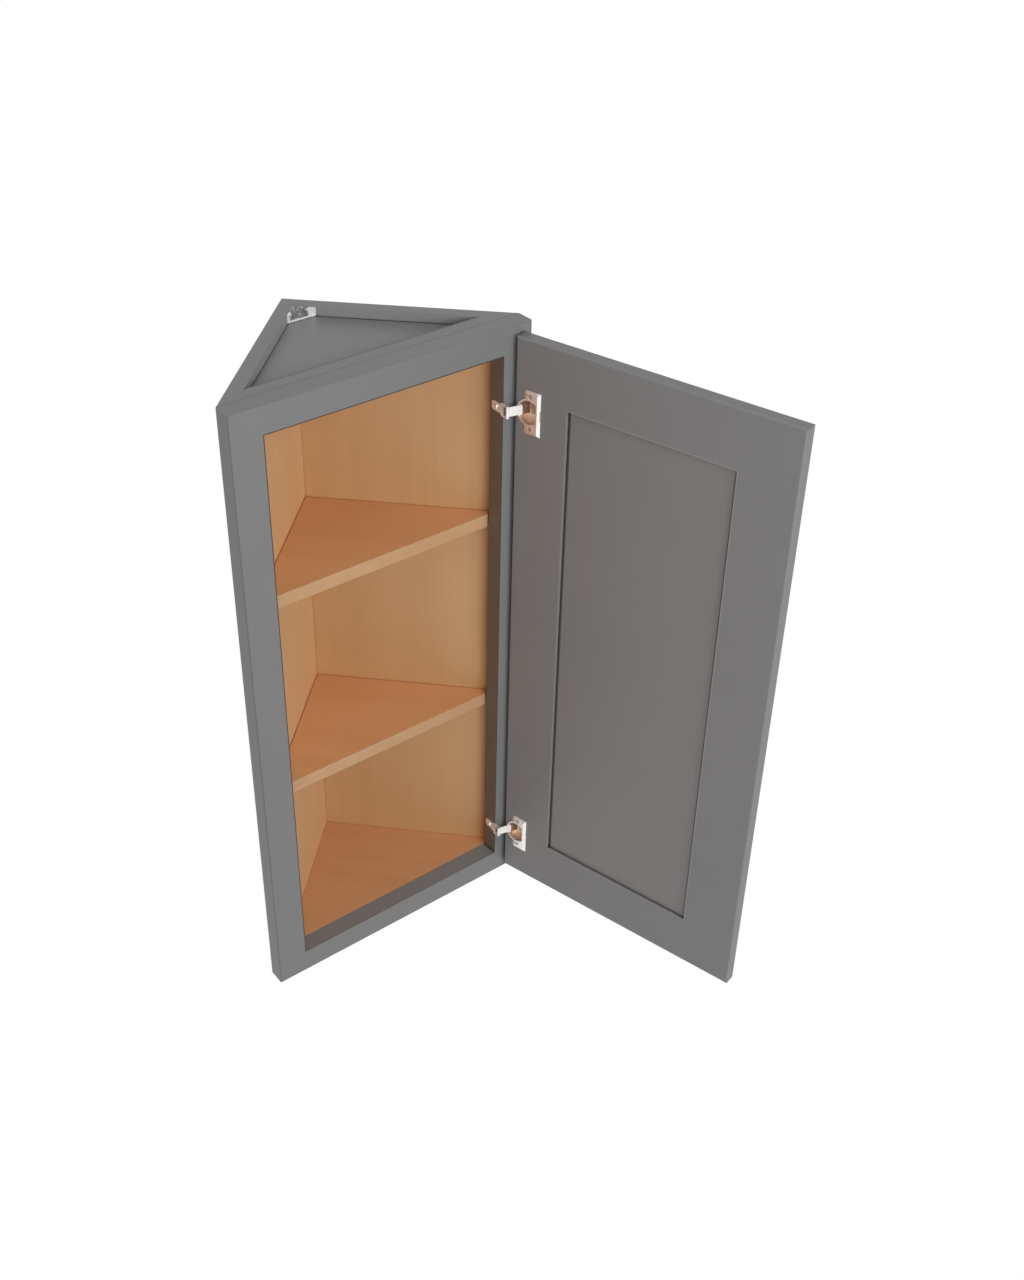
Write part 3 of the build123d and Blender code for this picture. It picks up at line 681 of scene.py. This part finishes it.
panel_lacquer = finish_lacquer("grey satin lacquer on the door panel", PANEL_GREY, 0, "Z",
                               ACROSS_DOOR, panel_border)
cover(panel_lacquer, "door_panel")
door_rail_lacquer = finish_lacquer("grey satin lacquer on maple door rails", DOOR_GREY,
                                   ACROSS_DOOR, "X", ACROSS_DOOR, door_borders)
cover(door_rail_lacquer, "door_top_rail", "door_bottom_rail")

# The hinge cups: each is drawn from sheet steel in one with its wings, bright nickel plated and let
# into the door's stile.  The plate is soft and warm rather than a hard mirror.  The bowl, which is
# all that lies deeper than the door's back face, is tinted brown as a painted reflection of the
# maple inside.
HINGE_NICKEL = "#FAF6F3"
HINGE_GLOSS = (0.32, 0.44)
HINGE_RIPPLE = 0.005
BOWL_PAINTED_REFLECTION = "#DFC8B6"

# The back face of the open door looks out square to its width, at this angle from the X axis.
DOOR_FACING = radians(240.4)
door_outward = Quaternion(upward, DOOR_FACING) @ Vector((1, 0, 0))
door_back = spread("door_hinge_stile", door_outward)[1]
cup_nickel = plate_metal("nickel plate with painted reflection in the cup", HINGE_NICKEL, HINGE_GLOSS,
                         HINGE_RIPPLE, NICKEL_RELIEF)
place = add_node(cup_nickel, "ShaderNodeTexCoord").outputs["Object"]
level_out = add_node(cup_nickel, "ShaderNodeVectorMath", {0: place, 1: door_outward},
                     operation="DOT_PRODUCT")
deep = add_node(cup_nickel, "ShaderNodeMath",
                {0: level_out.outputs["Value"], 1: door_back - FACE_MARGIN},
                operation="LESS_THAN")
shader = cup_nickel.node_tree.nodes["Principled BSDF"]
plate = shader.inputs["Base Color"].links[0].from_socket
bowl_reflection = add_node(cup_nickel, "ShaderNodeMix",
                {"Factor": deep.outputs["Value"], "A": plate, "B": srgb(BOWL_PAINTED_REFLECTION)},
                data_type="RGBA")
set_finish(cup_nickel, {"Base Color": bowl_reflection.outputs["Result"]})
cover(cup_nickel, "upper_hinge_cup", "lower_hinge_cup")

# Inside each cup, a steel pin with the same nickel runs through its ears, and a bent leaf spring
# lies on its floor.  The spring is heat blued, and grease makes it look brown.
SPRING_BLUE = "#B09684"
SPRING_RIPPLE = 0.002

hinge_nickel = plate_metal("bright nickel plate on pressed hinges", HINGE_NICKEL, HINGE_GLOSS,
                           HINGE_RIPPLE, NICKEL_RELIEF)
cover(hinge_nickel, "upper_hinge_cup_pin", "lower_hinge_cup_pin")
spring_blue = plate_metal("blued spring steel under grease", SPRING_BLUE, HINGE_GLOSS,
                          SPRING_RIPPLE, FINE_RELIEF)
cover(spring_blue, "upper_hinge_spring", "lower_hinge_spring")

# The arms and links: pressed and rolled from sheet steel and nickel plated too.  The arm slips into
# the cup when the door shuts.  Their plate has dulled: it scatters some of the light, so it stays
# pale inside the frame.
ARM_GLOSS = (0.38, 0.50)
ARM_METALLIC = 0.65

arm_nickel = plate_metal("dulled nickel plate on arms and links", HINGE_NICKEL, ARM_GLOSS,
                         HINGE_RIPPLE, NICKEL_RELIEF)
set_finish(arm_nickel, {"Metallic": ARM_METALLIC})
cover(arm_nickel, "upper_hinge_arm", "lower_hinge_arm", "upper_hinge_link", "lower_hinge_link")

# The arm's pin is riveted: both of its ends are peened over into low round heads outside the
# cheeks.  A head spreads to RIVET_HEAD times the shank, and its crown narrows to RIVET_CROWN of it.
RIVET_SIDES = 32
RIVET_SHANK = 0.0013
RIVET_HEAD = 1.55
RIVET_CROWN = 0.55
CHEEK_OVERHANG = 0.0005

for level in ("upper", "lower"):
    low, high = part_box(level + "_hinge_arm_pin")
    middle = (low + high) / 2
    cheeks = high.z - low.z - 2 * CHEEK_OVERHANG
    bpy.ops.mesh.primitive_cylinder_add(vertices=RIVET_SIDES, radius=RIVET_SHANK, depth=cheeks,
                                        location=middle)
    rivet = bpy.context.object
    rivet.name = level + "_hinge_arm_rivet"
    bpy.ops.object.transform_apply(location=True, rotation=True, scale=True)
    for side in (1, -1):
        centre = middle + Vector((0, 0, side * cheeks / 2))
        step = {"value": (0, 0, side * CHEEK_OVERHANG / 2)}
        edit_faces(rivet, upward * side)
        bpy.ops.mesh.extrude_region_move(TRANSFORM_OT_translate={"value": (0, 0, 0)})
        bpy.ops.transform.resize(value=(RIVET_HEAD, RIVET_HEAD, 1), center_override=centre)
        bpy.ops.mesh.extrude_region_move(TRANSFORM_OT_translate=step)
        bpy.ops.mesh.extrude_region_move(TRANSFORM_OT_translate=step)
        bpy.ops.transform.resize(value=(RIVET_CROWN, RIVET_CROWN, 1), center_override=centre)
        bpy.ops.object.mode_set(mode="OBJECT")
    bpy.ops.object.shade_smooth_by_angle(angle=radians(50))
    rivet.data.materials.append(hinge_nickel)
    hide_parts(level + "_hinge_arm_pin")
    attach(rivet, "cabinet")

# Each arm is held to the frame stile by one pan-head screw in its slot, so that the door can be
# adjusted when it is hung.  Its clear zinc is brighter than the zinc on the bracket's screws.
SCREW_ZINC = "#F2F0EE"
SCREW_GLOSS = (0.36, 0.50)
ARM_SCREW_TURN = 35


def head_centre(node, outward, side):
    """The middle of the outward face of a CAD screw: the upper (side 1), lower (-1) or only (0)."""
    points = [vertex.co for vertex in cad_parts[node].data.vertices]
    low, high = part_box(node)
    halfway = (low.z + high.z) / 2
    if side:
        points = [point for point in points if (point.z - halfway) * side > 0]
    top = max(point.dot(outward) for point in points)
    face = [point for point in points if top - point.dot(outward) < FACE_MARGIN / 2]
    ends = [[pick(point[axis] for point in face) for axis in range(3)] for pick in (min, max)]
    return (Vector(ends[0]) + Vector(ends[1])) / 2


pan_screw.data.materials[0] = plate_metal("zinc plate on screws", SCREW_ZINC, SCREW_GLOSS,
                                          SCREW_RIPPLE, FINE_RELIEF)
inboard = Vector((-1, -1, 0)).normalized()
for level in ("upper", "lower"):
    node = level + "_hinge_arm_screw"
    seat = head_centre(node, inboard, 0) - inboard * PAN_HEIGHT
    drive_in(pan_screw, level + "_hinge_arm_pan_screw", ((seat, inboard, ARM_SCREW_TURN),),
             "cabinet", node)
bpy.data.objects.remove(pan_screw)

# Two flat-head screws sink each cup's wings to the door.  Their heads lie flush in the wings, and
# their zinc is a shade greyer than the nickel round them.
FLAT_RADIUS = 0.00325
FLAT_DEPTH = 0.00145
FLAT_EASE = 0.0002
CUP_SCREW_ZINC = "#C2BEBB"

# The side and the turn in degrees of a cup's upper screw, then of its lower one.
CUP_SCREW_TURNS = ((1, 10), (-1, 50))

bpy.ops.mesh.primitive_cylinder_add(vertices=SCREW_SIDES, radius=FLAT_RADIUS, depth=FLAT_DEPTH,
                                    location=(0, 0, -FLAT_DEPTH / 2))
flat_screw = bpy.context.object
bpy.ops.object.transform_apply(location=True, rotation=True, scale=True)
edit_faces(flat_screw, -upward)
throat = (FLAT_RADIUS - FLAT_DEPTH) / FLAT_RADIUS
bpy.ops.transform.resize(value=(throat, throat, 1), center_override=origin)
bpy.ops.object.mode_set(mode="OBJECT")
edit_faces(flat_screw, upward)
bpy.ops.mesh.bevel(offset=FLAT_EASE, segments=2, affect="EDGES")
bpy.ops.object.mode_set(mode="OBJECT")
punch_cross(flat_screw)
bpy.ops.object.shade_smooth_by_angle(angle=radians(30))
flat_screw.data.materials.append(plate_metal("zinc plate on cup screws", CUP_SCREW_ZINC,
                                             SCREW_GLOSS, SCREW_RIPPLE, FINE_RELIEF))
for level in ("upper", "lower"):
    node = level + "_hinge_cup_screws"
    seats = [(head_centre(node, door_outward, side), door_outward, turn)
             for side, turn in CUP_SCREW_TURNS]
    drive_in(flat_screw, level + "_hinge_cup_flat_screws", seats, "door", node)
bpy.data.objects.remove(flat_screw)

# The studio: a pale paper floor far below the hung cabinet, a white surround and soft lamps in
# front.  The paper takes the lamps' light and the cabinet's shadow, and an emission of strength one
# is plain white.
FLOOR_LEVEL = -1.37
FLOOR_SPREAD = 60
PAPER_WHITE = "#E4E4E4"
PAPER_ROUGHNESS = 0.9
PURE_WHITE = (1, 1, 1, 1)

bpy.ops.mesh.primitive_plane_add(size=FLOOR_SPREAD, location=(0, 0, FLOOR_LEVEL))
floor = bpy.context.object
floor.name = "studio_floor"


def show_white(backdrop, surface, white, output):
    """Let the camera, gloss and glass see plain white, and leave the light as it is."""
    path = add_node(backdrop, "ShaderNodeLightPath")
    seen = path.outputs["Is Camera Ray"]
    for ray in ("Is Glossy Ray", "Is Transmission Ray"):
        seen = add_node(backdrop, "ShaderNodeMath", {0: seen, 1: path.outputs[ray]},
                        operation="MAXIMUM").outputs["Value"]
    swap = add_node(backdrop, "ShaderNodeMixShader", {"Fac": seen, 1: surface, 2: white})
    backdrop.node_tree.links.new(swap.outputs["Shader"], output)


paper = new_material("white studio paper")
set_finish(paper, {"Base Color": srgb(PAPER_WHITE), "Roughness": PAPER_ROUGHNESS})
white = add_node(paper, "ShaderNodeEmission", {"Color": PURE_WHITE, "Strength": 1.0})
nodes = paper.node_tree.nodes
show_white(paper, nodes["Principled BSDF"].outputs["BSDF"], white.outputs["Emission"],
           nodes["Material Output"].inputs["Surface"])
floor.data.materials.append(paper)

# The surround gives a low even light from all sides, like the walls of a bright room, and behind
# the cabinet it looks plain white.
SKY_LEVEL = 0.36

scene = bpy.context.scene
scene.world = bpy.data.worlds.new("studio surround")
scene.world.use_nodes = True
nodes = scene.world.node_tree.nodes
sky = nodes["Background"]
sky.inputs["Color"].default_value = PURE_WHITE
sky.inputs["Strength"].default_value = SKY_LEVEL
white = add_node(scene.world, "ShaderNodeBackground", {"Color": PURE_WHITE, "Strength": 1.0})
show_white(scene.world, sky.outputs["Background"], white.outputs["Background"],
           nodes["World Output"].inputs["Surface"])

# Three round soft lamps face the middle of the cabinet.  Each has its name, its place, its size in
# metres and its power in watts.
LAMP_AIM = Vector((0.25, -0.15, 0.45))
LAMPS = (
    ("front softbox", (2.58, -2.24, 2.05), 1.8, 56),
    ("side softbox", (1.25, -3.25, 1.65), 1.8, 29),
    ("top softbox", (1.00, -1.10, 3.30), 1.4, 9),
)

for name, place, size, watts in LAMPS:
    bpy.ops.object.light_add(type="AREA", location=place)
    lamp = bpy.context.object
    lamp.name = name
    lamp.data.shape = "DISK"
    lamp.data.size = size
    lamp.data.energy = watts
    aim = LAMP_AIM - Vector(place)
    lamp.rotation_euler = aim.to_track_quat("-Z", "Y").to_euler()

# The camera stands where the photograph was taken: before the back wall, higher than the top, and
# looking down 35 degrees.
CAMERA_PLACE = (0.49252, -1.77470, 1.69996)
CAMERA_DOWN = 35.0297
CAMERA_TURN = 8.539
CAMERA_LENS = 43.044
CAMERA_SENSOR = 36.0
CAMERA_SHIFT = (0.04282, -0.01755)

bpy.ops.object.camera_add(location=CAMERA_PLACE,
                          rotation=(radians(90 - CAMERA_DOWN), 0, radians(CAMERA_TURN)))
camera = bpy.context.object
camera.data.lens = CAMERA_LENS
camera.data.sensor_width = CAMERA_SENSOR
camera.data.shift_x, camera.data.shift_y = CAMERA_SHIFT
scene.camera = camera
scene.view_settings.view_transform = "Standard"

bpy.context.view_layer.update()
